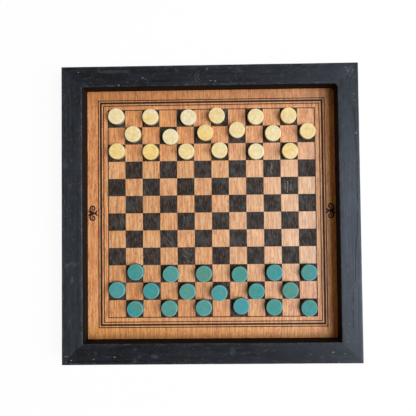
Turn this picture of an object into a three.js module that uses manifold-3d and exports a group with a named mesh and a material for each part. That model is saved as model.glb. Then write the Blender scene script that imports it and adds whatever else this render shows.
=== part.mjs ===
// A checkers board of 12 by 12 squares in a shallow tray: four mitred rails round a printed plywood
// panel, with eighteen ivory discs and eighteen teal discs set out on the dark squares.
// Millimetres, +Z up. The origin is under the middle of the tray, and +Y is the ivory player's side.
import * as THREE from "three";
import { mergeVertices } from "three/addons/utils/BufferGeometryUtils.js";
import Module from "manifold-3d";

const wasm = await Module();
wasm.setup();

// Frame rails
const frameSide = 430;
const railWidth = 30;
const railHeight = 30;
const edgeBevel = 0.8;
const mitreGap = 0.3;
const innerCornerRadius = 1;
const wornCornerRadius = 6;
const arcSteps = 4;

// Playing panel in the rebate under the rails
const panelThickness = 4;
const panelLap = 8;
const panelRecess = 1;
const panelSeatGap = 0.3;
const panelEdgeGap = 0.5;

// Printed field and border, laid a little off the middle of the panel
const squaresAcross = 12;
const squareSide = 25.8;
const squareBleed = 0.1;
const fieldLineWidth = 1.3;
const printShift = new THREE.Vector2(0.9, 1.4);
const borderLines = [
  { name: "inner", offset: 6.8, width: 1.3 },
  { name: "middle", offset: 11, width: 2.8 },
  { name: "outer", offset: 14.75, width: 1.3 },
];
const inkThickness = 0.1;
const inkGap = 0.02;

// Discs
const discDiameter = 24;
const discThickness = 9;
const discEdgeBevel = 0.8;
const discRestGap = 0.1;
const discSides = 24;
const discRows = 3;

// How far each disc was put down from the middle of its square, one list for each row from the far side
const ivoryNudges = [
  [[1, 2.5], [0.5, 1], [5.5, -0.5], [-4, 1.5], [2, -1], [-1, 0]],
  [[0, 1.5], [4.5, -3.5], [4.5, 2], [0, 5.5], [1.5, 0], [1, 2.5]],
  [[2, 2], [0.5, 0.5], [2, 0.5], [-0.5, 1.5], [2, -1], [0.5, -1]],
];
const tealNudges = [
  [[3, 3.5], [3.5, 0], [0.5, 0], [1.5, -1.5], [1, 1], [0, 0.5]],
  [[1.5, 3.5], [0, 1.5], [2, 0], [-3, -2.5], [0, -0.5], [-2, 0.5]],
  [[2, 1], [1, 1.5], [0, 2], [3.5, 4], [0, 2], [-0.5, 0.5]],
];

// Nails through the mitres and pins through the panel
const nailShankDiameter = 1.8;
const nailHeadDiameter = 4;
const nailHeadThickness = 0.8;
const nailLength = 40;
const nailInset = 12;
const nailSink = 0.2;
const pinShankDiameter = 1.4;
const pinHeadDiameter = 3;
const pinHeadThickness = 0.5;
const pinLength = 14;
const pinSpacing = 220;
const pinsPerRail = 2;
const fastenerClearance = 0.3;
const fastenerSides = 12;

// Worked out from the sizes above
const halfFrame = frameSide / 2;
const halfOpening = halfFrame - railWidth;
const rebateHeight = panelRecess + panelThickness + panelSeatGap;
const halfRebate = halfOpening + panelLap;
const panelSide = 2 * (halfRebate - panelEdgeGap);
const panelTop = panelRecess + panelThickness;
const inkBase = panelTop + inkGap;
const discBase = inkBase + inkThickness + discRestGap;
const fieldSide = squaresAcross * squareSide;
const quarterTurn = Math.PI / 2;

const paintedWood = new THREE.MeshStandardMaterial({ color: 0x2f343a, roughness: 0.55, metalness: 0 });
const plywood = new THREE.MeshStandardMaterial({ color: 0xd39b6a, roughness: 0.6, metalness: 0 });
const darkInk = new THREE.MeshStandardMaterial({ color: 0x3b332e, roughness: 0.6, metalness: 0 });
const steel = new THREE.MeshStandardMaterial({ color: 0x8a8d90, roughness: 0.45, metalness: 1 });
const ivoryPaint = new THREE.MeshStandardMaterial({ color: 0xebd49c, roughness: 0.5, metalness: 0 });
const tealPaint = new THREE.MeshStandardMaterial({ color: 0x55908c, roughness: 0.5, metalness: 0 });

// A geometry reduced to its merged positions becomes a solid that can be cut and joined.
function solidFrom(geometry) {
  const bare = geometry.clone();
  bare.deleteAttribute("normal");
  bare.deleteAttribute("uv");
  const welded = mergeVertices(bare, 1e-4);
  return new wasm.Manifold(new wasm.Mesh({
    numProp: 3,
    vertProperties: new Float32Array(welded.attributes.position.array),
    triVerts: new Uint32Array(welded.index.array),
  }));
}

function geometryFrom(solid) {
  const mesh = solid.getMesh();
  const geometry = new THREE.BufferGeometry();
  geometry.setAttribute("position", new THREE.BufferAttribute(mesh.vertProperties, mesh.numProp));
  geometry.setIndex(new THREE.BufferAttribute(mesh.triVerts, 1));
  geometry.computeVertexNormals();
  return geometry;
}

function cut(solid, cutters) {
  return cutters.reduce((left, cutter) => left.subtract(solidFrom(cutter)), solid);
}

function addPiece(group, name, geometry, material) {
  const mesh = new THREE.Mesh(geometry, material);
  mesh.name = name;
  group.add(mesh);
  return mesh;
}

// A flat-headed nail along -Z from the top of its head at the origin. Growing it makes its hole.
function nailGeometry(shankDiameter, headDiameter, headThickness, length, grow = 0) {
  const profile = [
    [0, -length - grow],
    [shankDiameter / 2 + grow, -length - grow],
    [shankDiameter / 2 + grow, -headThickness - grow],
    [headDiameter / 2 + grow, -headThickness - grow],
    [headDiameter / 2 + grow, grow],
    [0, grow],
  ];
  const points = profile.map(([radius, height]) => new THREE.Vector2(radius, height));
  return new THREE.LatheGeometry(points, fastenerSides).rotateX(quarterTurn);
}

function cornerNail(grow) {
  return nailGeometry(nailShankDiameter, nailHeadDiameter, nailHeadThickness, nailLength, grow);
}

function panelPin(grow) {
  return nailGeometry(pinShankDiameter, pinHeadDiameter, pinHeadThickness, pinLength, grow).rotateX(Math.PI);
}

// The nail of the back rail's right-hand mitre enters its outer face, and a quarter turn gives the next one.
function placedCornerNail(turns, grow = 0) {
  const geometry = cornerNail(grow).rotateX(-quarterTurn);
  geometry.translate(halfFrame - nailInset, halfFrame - nailSink, railHeight / 2);
  return geometry.rotateZ(turns * quarterTurn);
}

// Pins stand under the back rail's rebate, evenly about its middle.
function placedPanelPin(index, turns, grow = 0) {
  const along = (index - (pinsPerRail - 1) / 2) * pinSpacing / (pinsPerRail - 1);
  const headBottom = panelRecess - pinHeadThickness - inkGap;
  const geometry = panelPin(grow).translate(along, halfOpening + panelLap / 2, headBottom);
  return geometry.rotateZ(turns * quarterTurn);
}

function allPanelPins(grow) {
  const turns = [0, 1, 2, 3];
  const indices = [...Array(pinsPerRail).keys()];
  return turns.flatMap((turn) => indices.map((index) => placedPanelPin(index, turn, grow)));
}

// The back rail seen from above. Its inner edge runs into a round at each mitre.
function railOutline(leftRadius, rightRadius) {
  const mitreShift = mitreGap * Math.SQRT1_2;
  const outline = new THREE.Shape();
  const roundAngle = (radius) => Math.PI / 4 + Math.asin(mitreGap / 2 / radius);
  outline.moveTo(halfFrame - mitreShift, halfFrame);
  outline.lineTo(-halfFrame + mitreShift, halfFrame);
  outline.absarc(
    -halfOpening + leftRadius, halfOpening - leftRadius, leftRadius,
    Math.PI - roundAngle(leftRadius), quarterTurn, true,
  );
  outline.absarc(
    halfOpening - rightRadius, halfOpening - rightRadius, rightRadius,
    quarterTurn, roundAngle(rightRadius), true,
  );
  outline.closePath();
  return outline;
}

// A wedge whose long face takes the sharp arris off the rail's upper outer edge.
function outerEdgeBevel() {
  const wedge = new THREE.Shape();
  wedge.moveTo(-2 * edgeBevel, edgeBevel);
  wedge.lineTo(edgeBevel, -2 * edgeBevel);
  wedge.lineTo(edgeBevel, edgeBevel);
  wedge.closePath();
  const length = frameSide + 2 * edgeBevel;
  const geometry = new THREE.ExtrudeGeometry(wedge, { depth: length, bevelEnabled: false });
  geometry.rotateX(quarterTurn).rotateZ(quarterTurn);
  return geometry.translate(-length / 2, halfFrame, railHeight);
}

function railGeometry(leftRadius, rightRadius) {
  const prism = new THREE.ExtrudeGeometry(railOutline(leftRadius, rightRadius), {
    depth: railHeight,
    bevelEnabled: false,
    curveSegments: arcSteps,
  });
  const rebate = new THREE.BoxGeometry(2 * halfRebate, 2 * halfRebate, 2 * rebateHeight);
  const nailHoles = [placedCornerNail(0, fastenerClearance), placedCornerNail(1, fastenerClearance)];
  const pinHoles = [...Array(pinsPerRail).keys()].map((index) => placedPanelPin(index, 0, fastenerClearance));
  return geometryFrom(cut(solidFrom(prism), [rebate, outerEdgeBevel(), ...nailHoles, ...pinHoles]));
}

function addFrame(group) {
  const sides = ["back", "left", "front", "right"];
  sides.forEach((side, turn) => {
    const leftRadius = side === "right" ? wornCornerRadius : innerCornerRadius;
    const rightRadius = side === "back" ? wornCornerRadius : innerCornerRadius;
    const geometry = railGeometry(leftRadius, rightRadius).rotateZ(turn * quarterTurn);
    addPiece(group, `rail_${side}`, geometry, paintedWood);
    addPiece(group, `corner_nail_${turn + 1}`, placedCornerNail(turn), steel);
  });
}

function addPanel(group) {
  const board = new THREE.BoxGeometry(panelSide, panelSide, panelThickness);
  board.translate(0, 0, panelRecess + panelThickness / 2);
  addPiece(group, "playing_panel", geometryFrom(cut(solidFrom(board), allPanelPins(fastenerClearance))), plywood);
  allPanelPins().forEach((geometry, index) => addPiece(group, `panel_pin_${index + 1}`, geometry, steel));
}

function squareOutline(side) {
  const half = side / 2;
  const corners = [[-half, -half], [half, -half], [half, half], [-half, half]];
  return corners.map(([x, y]) => new THREE.Vector2(x, y));
}

// A square printed line whose centre runs at half the given side from the middle of the field.
function lineFrame(side, width) {
  const outline = new THREE.Shape(squareOutline(side + width));
  outline.holes.push(new THREE.Path(squareOutline(side - width)));
  return new THREE.ExtrudeGeometry(outline, { depth: inkThickness, bevelEnabled: false });
}

function onPrint(geometry) {
  return geometry.translate(printShift.x, printShift.y, inkBase);
}

// Columns count from the left and rows from the far side, both from zero.
function squareCentre(column, row) {
  const middle = (squaresAcross - 1) / 2;
  return new THREE.Vector2((column - middle) * squareSide, (middle - row) * squareSide);
}

function isDark(column, row) {
  return (column + row) % 2 === 0;
}

function darkColumns(row) {
  return [...Array(squaresAcross).keys()].filter((column) => isDark(column, row));
}

function addPrint(group) {
  const bledSide = squareSide + 2 * squareBleed;
  let field = solidFrom(lineFrame(fieldSide, fieldLineWidth));
  for (let row = 0; row < squaresAcross; row += 1) {
    for (const column of darkColumns(row)) {
      const centre = squareCentre(column, row);
      const square = new THREE.BoxGeometry(bledSide, bledSide, inkThickness);
      field = field.add(solidFrom(square.translate(centre.x, centre.y, inkThickness / 2)));
    }
  }
  addPiece(group, "printed_squares", onPrint(geometryFrom(field)), darkInk);
  for (const { name, offset, width } of borderLines) {
    addPiece(group, `border_line_${name}`, onPrint(lineFrame(fieldSide + 2 * offset, width)), darkInk);
  }
}

// A turned disc with both edges eased.
function discGeometry() {
  const radius = discDiameter / 2;
  const profile = [
    [0, 0],
    [radius - discEdgeBevel, 0],
    [radius, discEdgeBevel],
    [radius, discThickness - discEdgeBevel],
    [radius - discEdgeBevel, discThickness],
    [0, discThickness],
  ];
  const points = profile.map(([distance, height]) => new THREE.Vector2(distance, height));
  return new THREE.LatheGeometry(points, discSides).rotateX(quarterTurn);
}

function addDiscs(group, colour, nudges, firstRow, material) {
  let count = 0;
  for (let step = 0; step < discRows; step += 1) {
    const row = firstRow + step;
    darkColumns(row).forEach((column, place) => {
      const [nudgeX, nudgeY] = nudges[step][place];
      const centre = squareCentre(column, row).add(printShift);
      count += 1;
      const disc = addPiece(group, `${colour}_disc_${String(count).padStart(2, "0")}`, discGeometry(), material);
      disc.position.set(centre.x + nudgeX, centre.y + nudgeY, discBase);
    });
  }
}

const board = new THREE.Group();
addFrame(board);
addPanel(board);
addPrint(board);
addDiscs(board, "ivory", ivoryNudges, 0, ivoryPaint);
addDiscs(board, "teal", tealNudges, squaresAcross - discRows, tealPaint);

export default board;
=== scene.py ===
"""Looks for a checkers board: a black mitred tray frame, a printed plywood panel and painted discs."""
import math
import random

import bmesh
import bpy
from bpy.props import FloatProperty, FloatVectorProperty, IntProperty, PointerProperty
from mathutils import Matrix, Vector, noise


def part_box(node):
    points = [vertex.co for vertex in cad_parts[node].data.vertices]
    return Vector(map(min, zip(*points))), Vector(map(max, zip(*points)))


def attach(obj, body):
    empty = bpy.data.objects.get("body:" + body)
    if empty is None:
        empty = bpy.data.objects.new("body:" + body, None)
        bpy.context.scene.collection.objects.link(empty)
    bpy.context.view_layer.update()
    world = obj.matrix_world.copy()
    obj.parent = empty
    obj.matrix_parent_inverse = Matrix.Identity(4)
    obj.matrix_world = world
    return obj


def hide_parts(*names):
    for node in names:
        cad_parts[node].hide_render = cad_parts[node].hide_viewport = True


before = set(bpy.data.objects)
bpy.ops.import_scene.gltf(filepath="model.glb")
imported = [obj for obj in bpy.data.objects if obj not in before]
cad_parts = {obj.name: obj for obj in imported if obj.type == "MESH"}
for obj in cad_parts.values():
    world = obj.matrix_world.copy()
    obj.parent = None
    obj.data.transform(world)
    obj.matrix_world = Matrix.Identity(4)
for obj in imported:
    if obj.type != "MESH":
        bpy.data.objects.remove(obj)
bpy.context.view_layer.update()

bl_info = {
    "name": "Checkers board looks",
    "version": (1, 0, 0),
    "blender": (4, 5, 0),
    "location": "View3D > Sidebar > Checkers",
    "description": "Dresses a checkers board's frame, panel, print and discs, and sets up its studio",
    "category": "Object",
}

MM = 0.001

# The rails, each a quarter turn on from the one before, and their width
RAIL_SIDES = ("back", "left", "front", "right")
QUARTER_TURN = math.pi / 2
RAIL_WIDTH = 30 * MM

# Places taken from the solids, in metres
HALF_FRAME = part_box("rail_back")[1][1]
RAIL_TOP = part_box("rail_back")[1][2]
HALF_OPENING = HALF_FRAME - RAIL_WIDTH
PANEL_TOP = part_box("playing_panel")[1][2]
HALF_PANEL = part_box("playing_panel")[1][0]
HALF_FIELD = 0.5 * (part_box("printed_squares")[1][0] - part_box("printed_squares")[0][0])
INK_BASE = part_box("printed_squares")[0][2]
INK_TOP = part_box("printed_squares")[1][2]

# The photograph's frame and focal length, in pixels, where its lens axis falls, and the camera's sensor
IMAGE_SIDE_PX = 416
FOCAL_PX = 442
LENS_AXIS_PX = (227.3, 204.0)
SENSOR_MM = 36
# The nearest that the camera sees, in metres
CLIP_START = 0.01

# Inputs of the Mix node when it mixes colours, and the setting and output for that
FACTOR = 0
FIRST = 6
SECOND = 7
OF_COLOURS = {"data_type": "RGBA", "out": 2}


def linear(hex_colour):
    """An sRGB hex colour as linear red, green and blue."""
    channels = [int(hex_colour[start:start + 2], 16) / 255 for start in (1, 3, 5)]
    return tuple(c / 12.92 if c <= 0.04045 else ((c + 0.055) / 1.055) ** 2.4 for c in channels)


def colour(name, hex_colour, description):
    """A colour a user can change."""
    return FloatVectorProperty(
        name=name, description=description, subtype="COLOR", size=3, min=0, max=1, default=linear(hex_colour)
    )


def length(name, millimetres, description):
    """A length a user can change."""
    return FloatProperty(
        name=name, description=description, unit="LENGTH", min=0, precision=5, default=millimetres * MM
    )


class BoardSizes(bpy.types.PropertyGroup):
    """Sizes of what is made here; all else comes from the solids."""

    rail_ease: length("Rail edge", 1.0, "Radius of a rail's upper edges, eased by sanding")
    worn_corner: length("Worn corner", 6.0, "Radius of the inner corner at the back right")
    plain_corner: length("Plain corner", 1.0, "Radius of the other inner corners")
    rail_waviness: length("Rail waviness", 0.12, "How far the hand-sanded edges wander")
    disc_ease: length("Disc edge", 1.0, "Radius of a disc's edges")
    disc_ring: length("Disc ring", 3.8, "Spacing of the turning rings on a disc's face")
    disc_ring_depth: length("Disc ring depth", 0.015, "Depth of the turning rings")
    disc_out_of_round: length("Disc out of round", 0.12, "How far a disc departs from a true circle")
    flourish_height: length("Flourish height", 25.0, "Height of each ornament on the panel's margin")
    flourish_width: length("Flourish width", 14.0, "Width of each ornament on the panel's margin")


class BoardColours(bpy.types.PropertyGroup):
    """Colours of the finishes."""

    paint: colour("Black paint", "#07090C", "Frame paint where it lies thick")
    paint_thin: colour("Thin paint", "#1A1F27", "Frame paint in the brush's thin streaks")
    paint_warm: colour("Warm paint", "#1F1F20", "Frame paint where it has yellowed")
    stain: colour("Wall stain", "#120B07", "Brown-black stain on the tray's inner walls")
    stain_thin: colour("Thin wall stain", "#241910", "The same stain where it was wiped thin")
    # Also the grey of the painted sheen along the right rail
    paint_scuff_and_sheen: colour("Scuffs", "#50555C", "Rubbed patches on the frame")
    paint_fleck: colour("Flecks", "#52453A", "Brown dust caught in the frame's paint")
    paint_crack: colour("Cracks", "#0B0C0D", "Open grain in the frame")
    primer: colour("Primer", "#878B8F", "Primer in the paint's smallest chips")
    bare_wood: colour("Bare wood", "#7C6E60", "Wood in the paint's deeper chips")
    veneer_pale: colour("Pale veneer", "#EDB986", "Palest bands of the panel's veneer")
    veneer: colour("Veneer", "#DF9C5D", "The panel's veneer")
    veneer_dark: colour("Dark veneer", "#BF753B", "Darkest bands of the panel's veneer")
    pore: colour("Pores", "#924E2C", "Open pores in the veneer")
    margin_tint: colour("Margin tint", "#FFEBCF", "Tint of the varnish left on the margin, outside the field")
    # Painted sheen: the paler colour the middle rows turn toward on the right, the side that faces the lamp
    veneer_sheen_lit: colour("Bleached veneer", "#DFC2A2", "Where the light side of the panel has faded")
    # Painted shade: these three tints darken and yellow the margin along the right, back and front walls,
    # most in the right wall's shadow
    painted_shade_right: colour("Right varnish", "#F6EC80", "Tint of the thick yellow varnish along the right wall")
    painted_shade_back: colour("Back varnish", "#E3DBBF", "Tint of the varnish along the back wall")
    painted_shade_front: colour("Front varnish", "#FCFCD4", "Tint of the varnish along the front wall")
    ink: colour("Ink", "#1A1A18", "Printed squares and lines")
    ink_thin: colour("Thin ink", "#6C4D41", "Ink where the veneer's ridges show through")
    ink_rubbed: colour("Rubbed ink", "#494846", "Greyish rubbed patches on the printed squares")
    ink_pale: colour("Pale rubs", "#707272", "Grey streaks rubbed across the printed squares")
    ivory_pale: colour("Pale ivory", "#F3E4B9", "The palest ivory discs")
    ivory_yellow: colour("Yellow ivory", "#F6D37E", "The yellowest ivory discs")
    ivory_worn: colour("Worn ivory", "#D9AE72", "Wood showing through worn ivory paint")
    teal_green: colour("Green teal", "#4A968B", "The greenest teal discs")
    teal_blue: colour("Blue teal", "#37979F", "The bluest teal discs")
    teal_worn: colour("Worn teal", "#7A7A58", "Wood showing through worn teal paint")
    steel: colour("Steel", "#8A8D90", "Nails and pins")
    rust: colour("Rust", "#6B4630", "Rust on the nails and pins")
    floor: colour("Floor", "#F4F4F2", "Studio floor")
    backdrop: colour("Backdrop", "#5C5C5C", "Studio backdrop, grey so that it throws little light back")


class StudioSettings(bpy.types.PropertyGroup):
    """Camera and light."""

    camera_place: FloatVectorProperty(
        name="Camera place", description="Where the lens stands", subtype="TRANSLATION", unit="LENGTH",
        default=(33.9 * MM, -4.0 * MM, 663.8 * MM),
    )
    camera_turn: FloatVectorProperty(
        name="Camera turn", description="How the camera leans from straight down", subtype="EULER",
        default=(math.radians(1.52), math.radians(0.88), math.radians(-0.65)),
    )
    key_power: FloatProperty(
        name="Key power", description="Power of the tall soft lamp", default=730, unit="POWER"
    )
    key_tint: colour("Key tint", "#F4FAFF", "Cool daylight tint of the tall soft lamp")
    key_width: length("Key width", 4100, "Width of the tall soft lamp")
    key_height: length("Key height", 6600, "Height of the tall soft lamp")
    key_place: FloatVectorProperty(
        name="Key place", description="Where the tall soft lamp hangs", subtype="TRANSLATION", unit="LENGTH",
        default=(4.48, -0.87, 4.98),
    )
    top_power: FloatProperty(
        name="Top power", description="Power of the overhead strip", default=1.2, unit="POWER"
    )
    top_width: length("Top width", 260, "Width of the overhead strip")
    top_length: length("Top length", 1100, "Length of the overhead strip")
    top_place: FloatVectorProperty(
        name="Top place", description="Where the overhead strip hangs", subtype="TRANSLATION", unit="LENGTH",
        default=(0.42, 0.0, 2.0),
    )
    sky: FloatProperty(
        name="Sky", description="Strength of the even light from all round", default=0.18, min=0
    )
    sky_tint: colour("Sky tint", "#FFCF86", "Warm tint of the light from all round, as from a room's walls")
    floor_radius: length("Floor radius", 2600, "Flat part of the studio floor")
    cove_radius: length("Cove radius", 900, "Curve from the floor up to the backdrop")
    seed: IntProperty(name="Seed", description="Seed for the hand-made irregularities", default=7)


def set_inputs(tree, node, inputs):
    """Sets a node's inputs; one that is given another node's socket is linked to it."""
    for key, value in inputs.items():
        if isinstance(value, bpy.types.NodeSocket):
            tree.links.new(value, node.inputs[key])
        else:
            node.inputs[key].default_value = value


def add_node(tree, kind, inputs=None, stops=None, out=None, **settings):
    """Adds a node with its settings and links, and gives the node, or the output that is asked for."""
    node = tree.nodes.new("ShaderNode" + kind)
    for name, value in settings.items():
        setattr(node, name, value)
    set_inputs(tree, node, inputs or {})
    for index, (position, value) in enumerate(stops or ()):
        elements = node.color_ramp.elements
        stop = elements[index] if index < len(elements) else elements.new(position)
        stop.position = position
        stop.color = value
    return node if out is None else node.outputs[out]


def rgba(value):
    """A colour with full alpha."""
    return (*value, 1.0)


def grey(value):
    """A grey with full alpha."""
    return (value, value, value, 1.0)


def rising(low, high):
    """Stops of a ramp that is black up to low and white from high."""
    return [(low, grey(0)), (high, grey(1))]


def new_finish(name):
    """A bare material with one shader."""
    finish = bpy.data.materials.new(name)
    finish.use_nodes = True
    tree = finish.node_tree
    tree.nodes.clear()
    surface = add_node(tree, "BsdfPrincipled")
    add_node(tree, "OutputMaterial", {"Surface": surface.outputs["BSDF"]})
    return finish, tree, surface


def mottle(tree, space, cell_mm, detail=3.0, roughness=0.55, distortion=0.0, offset=0.0):
    """An uneven pattern whose cells have the given sizes in millimetres along the three axes."""
    scaled = add_node(tree, "Mapping", {
        "Vector": space, "Location": (offset, offset, offset), "Scale": [1 / (size * MM) for size in cell_mm],
    }, out="Vector")
    return add_node(tree, "TexNoise", {
        "Vector": scaled, "Scale": 1.0, "Detail": detail, "Roughness": roughness, "Distortion": distortion,
    }, out="Fac")


# Bluish tint of the light that the frame's paint throws back
PAINT_SHEEN = (0.75, 0.83, 1.0, 1.0)


def black_oil_paint_brushed(name, colours):
    """Oil paint brushed along each rail: streaks that catch side light, yellowed clouds, rubbed edges."""
    finish, tree, surface = new_finish(name)
    space = add_node(tree, "Attribute", out="Vector", attribute_name="brush_space")
    along = add_node(tree, "Attribute", out="Vector", attribute_name="brush_along")
    yellowed, smudged, edge, scuffed = [
        add_node(tree, "Attribute", out="Fac", attribute_name=mark)
        for mark in ("yellowed", "smudged", "edge", "scuffed")
    ]
    streaks = mottle(tree, space, (90, 2.2, 40), detail=4.0)
    clouds = mottle(tree, space, (26, 11, 40), detail=4.0, roughness=0.6, offset=3.0)
    stains = mottle(tree, space, (60, 30, 60), detail=3.0, offset=13.0)
    rubs = mottle(tree, space, (9, 4, 20), detail=5.0, roughness=0.65, offset=7.0)
    flecks = mottle(tree, space, (4, 3, 20), detail=3.0, roughness=0.6, offset=19.0)
    coats = []
    for pattern, low, high in ((streaks, 0.38, 0.64), (clouds, 0.38, 0.62)):
        thin = add_node(tree, "ValToRGB", {"Fac": pattern}, rising(low, high), "Color")
        coats.append(add_node(tree, "Mix", {
            FACTOR: thin, FIRST: rgba(colours.paint), SECOND: rgba(colours.paint_thin),
        }, **OF_COLOURS))
    coat = add_node(tree, "Mix", {FACTOR: 0.55, FIRST: coats[0], SECOND: coats[1]}, **OF_COLOURS)
    warm_coat = add_node(tree, "Mix", {
        FACTOR: 0.5, FIRST: coat, SECOND: rgba(colours.paint_warm),
    }, **OF_COLOURS)
    shares = []
    for pattern, low, high, other, operation in (
        (stains, 0.52, 0.7, yellowed, "MAXIMUM"),
        (flecks, 0.58, 0.72, 0.45, "MULTIPLY"),
        (rubs, 0.58, 0.76, 0.45, "MULTIPLY"),
        (rubs, 0.46, 0.62, edge, "MULTIPLY"),
        (rubs, 0.3, 0.55, scuffed, "MULTIPLY"),
    ):
        shown = add_node(tree, "ValToRGB", {"Fac": pattern}, rising(low, high), "Color")
        shares.append(add_node(tree, "Math", {0: shown, 1: other}, out=0, operation=operation))
    warm, dust, rubbed, worn_edge, scuff_and_sheen = shares
    worn = add_node(tree, "Math", {0: rubbed, 1: worn_edge}, out=0, operation="MAXIMUM")
    # Scuffs, and the painted sheen along the right rail, lighten the paint toward the scuff grey
    worn = add_node(tree, "Math", {0: worn, 1: scuff_and_sheen}, out=0, operation="MAXIMUM")
    for share, over in (
        (warm, warm_coat),
        (dust, rgba(colours.paint_fleck)),
        (smudged, rgba(colours.paint)),
        (worn, rgba(colours.paint_scuff_and_sheen)),
    ):
        coat = add_node(tree, "Mix", {FACTOR: share, FIRST: coat, SECOND: over}, **OF_COLOURS)
    gloss = add_node(tree, "MapRange", {
        "Value": streaks, "From Min": 0.35, "From Max": 0.65, "To Min": 0.4, "To Max": 0.52,
    }, out="Result")
    bump = add_node(tree, "Bump", {"Height": streaks, "Strength": 0.75, "Distance": 0.15 * MM}, out="Normal")
    set_inputs(tree, surface, {
        "Base Color": coat, "Roughness": gloss, "Normal": bump, "Tangent": along,
        "Anisotropic": 0.6, "Anisotropic Rotation": 0.25,
        "IOR": 1.5, "Specular IOR Level": 0.42, "Specular Tint": PAINT_SHEEN,
    })
    return finish


def brown_black_stain_wiped(name, colours):
    """Stain wiped thinly on the tray's inner walls: dull brown-black, the wood's grain faint along them."""
    finish, tree, surface = new_finish(name)
    space = add_node(tree, "Attribute", out="Vector", attribute_name="brush_space")
    grain = mottle(tree, space, (60, 2.0, 2.0), detail=4.0)
    thin = add_node(tree, "ValToRGB", {"Fac": grain}, rising(0.38, 0.64), "Color")
    stain = add_node(tree, "Mix", {
        FACTOR: thin, FIRST: rgba(colours.stain), SECOND: rgba(colours.stain_thin),
    }, **OF_COLOURS)
    bump = add_node(tree, "Bump", {"Height": grain, "Strength": 0.4, "Distance": 0.1 * MM}, out="Normal")
    set_inputs(tree, surface, {
        "Base Color": stain, "Normal": bump, "Roughness": 0.9, "IOR": 1.5, "Specular IOR Level": 0.1,
    })
    return finish


# How far the middle rows of the field are lightened toward the right, a painted sheen, and how much varnish
# is left at its two ends
RIGHT_SHEEN = 0.25
END_VARNISH = 0.7
# Distances from the panel's middle between which the middle rows, where the sheen is painted, give way to the
# ends, the field to the margin, and the margin to the painted shade, warm and yellow, along the walls
MIDDLE_ROWS = (70 * MM, 120 * MM)
MARGIN_START = (HALF_FIELD - 3 * MM, HALF_FIELD + 4 * MM)
WALL_SHADE = (HALF_FIELD + 2 * MM, HALF_FIELD + 14 * MM)


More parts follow.
